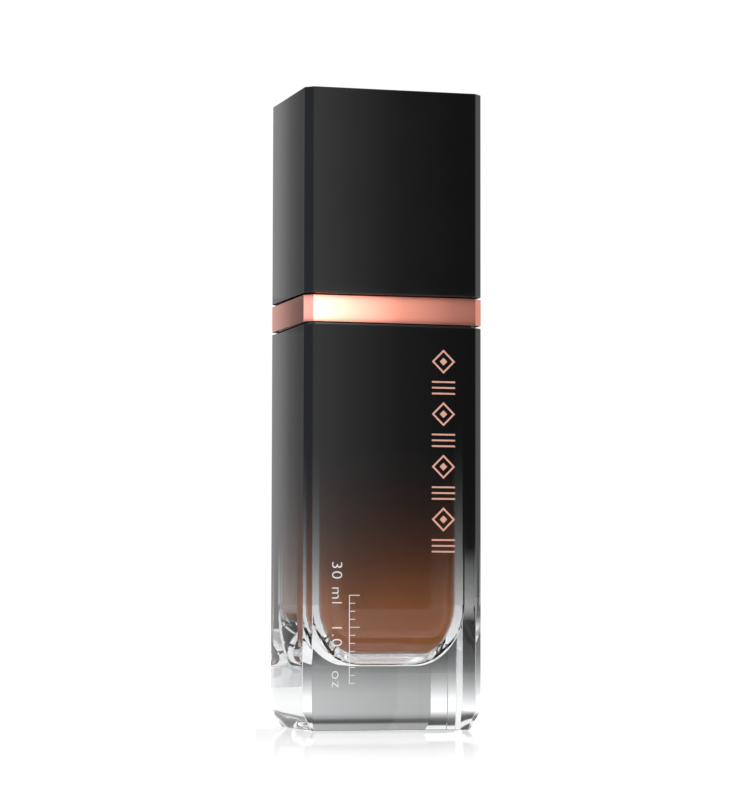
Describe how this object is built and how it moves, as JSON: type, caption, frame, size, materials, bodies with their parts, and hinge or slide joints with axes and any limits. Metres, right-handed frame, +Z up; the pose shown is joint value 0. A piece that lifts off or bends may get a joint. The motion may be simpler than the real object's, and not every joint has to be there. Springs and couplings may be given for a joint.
{
  "type": "foundation bottle",
  "caption": "Chamfered rectangular 30 ml foundation bottle: clear shell with an inner bottle and liquid, plated shoulder band, screw-on treatment pump and a pull-off cap.",
  "frame": {"origin": "middle of the base, on the surface that the bottle stands on", "axes": "+Z up through the neck and the cap, -Y out of the printed front panel, +X to the right seen from the front"},
  "size_m": [0.035, 0.028, 0.1215],
  "materials": {
    "clear_acrylic": "polished clear, sprayed with translucent black that fades out towards the base",
    "clear_inner_plastic": "moulded, glossy, clear",
    "liquid_foundation": "opaque brown liquid, wet gloss",
    "rose_gold_plating": "rose gold vacuum plating on moulded plastic, mirror bright",
    "gloss_black_plastic": "high gloss black",
    "liner_plastic": "satin moulded black",
    "white_moulded_plastic": "moulded, satin white",
    "natural_plastic": "moulded, natural, slightly translucent",
    "seal_foam": "soft closed-cell foam",
    "stainless_steel": "drawn wire and polished ball"
  },
  "bodies": {
    "bottle": {"outer_shell": "clear_acrylic", "inner_bottle": "clear_inner_plastic", "foundation_fill": "liquid_foundation", "shoulder_ring": "rose_gold_plating"},
    "pump": {"pump_housing": "natural_plastic", "stem_guide": "white_moulded_plastic", "neck_gasket": "seal_foam", "dip_tube": "natural_plastic", "return_spring": "stainless_steel"},
    "closure": {"closure": "white_moulded_plastic", "closure_cover": "rose_gold_plating"},
    "plunger": {"stem": "natural_plastic", "plunger_core": "white_moulded_plastic"},
    "piston": {"piston": "natural_plastic"},
    "head": {"actuator_core": "white_moulded_plastic", "actuator_shell": "gloss_black_plastic", "nozzle_tip": "rose_gold_plating"},
    "valve_ball": {"inlet_ball": "stainless_steel"},
    "overcap": {"overcap_shell": "gloss_black_plastic", "overcap_liner": "liner_plastic"}
  },
  "joints": [
    {"name": "cap_pull", "type": "slide", "parent": "bottle", "child": "overcap", "axis": [0, 0, 1], "range_m": [0, 0.045]},
    {"name": "pump_rise", "type": "slide", "parent": "bottle", "child": "pump", "axis": [0, 0, 1], "range_m": [0, 0.00376]},
    {"name": "closure_turn", "type": "hinge", "parent": "pump", "child": "closure", "pos_m": [0, 0, 0.09], "axis": [0, 0, 1], "range_deg": [0, 540]},
    {"name": "actuator_press", "type": "slide", "parent": "pump", "child": "plunger", "axis": [0, 0, -1], "range_m": [0, 0.004], "stiffness_N_per_m": 1500, "springref_m": -0.003, "deforming": ["return_spring"]},
    {"name": "actuator_swivel", "type": "hinge", "parent": "plunger", "child": "head", "pos_m": [0, 0, 0.105], "axis": [0, 0, 1], "continuous": true},
    {"name": "piston_slip", "type": "slide", "parent": "plunger", "child": "piston", "axis": [0, 0, 1], "range_m": [0, 0.0008]},
    {"name": "inlet_ball_lift", "type": "slide", "parent": "pump", "child": "valve_ball", "axis": [0, 0, 1], "range_m": [0, 0.001]}
  ],
  "couplings": [
    {"joint": "pump_rise", "follows": "closure_turn", "m_per_rad": 0.00039789}
  ]
}
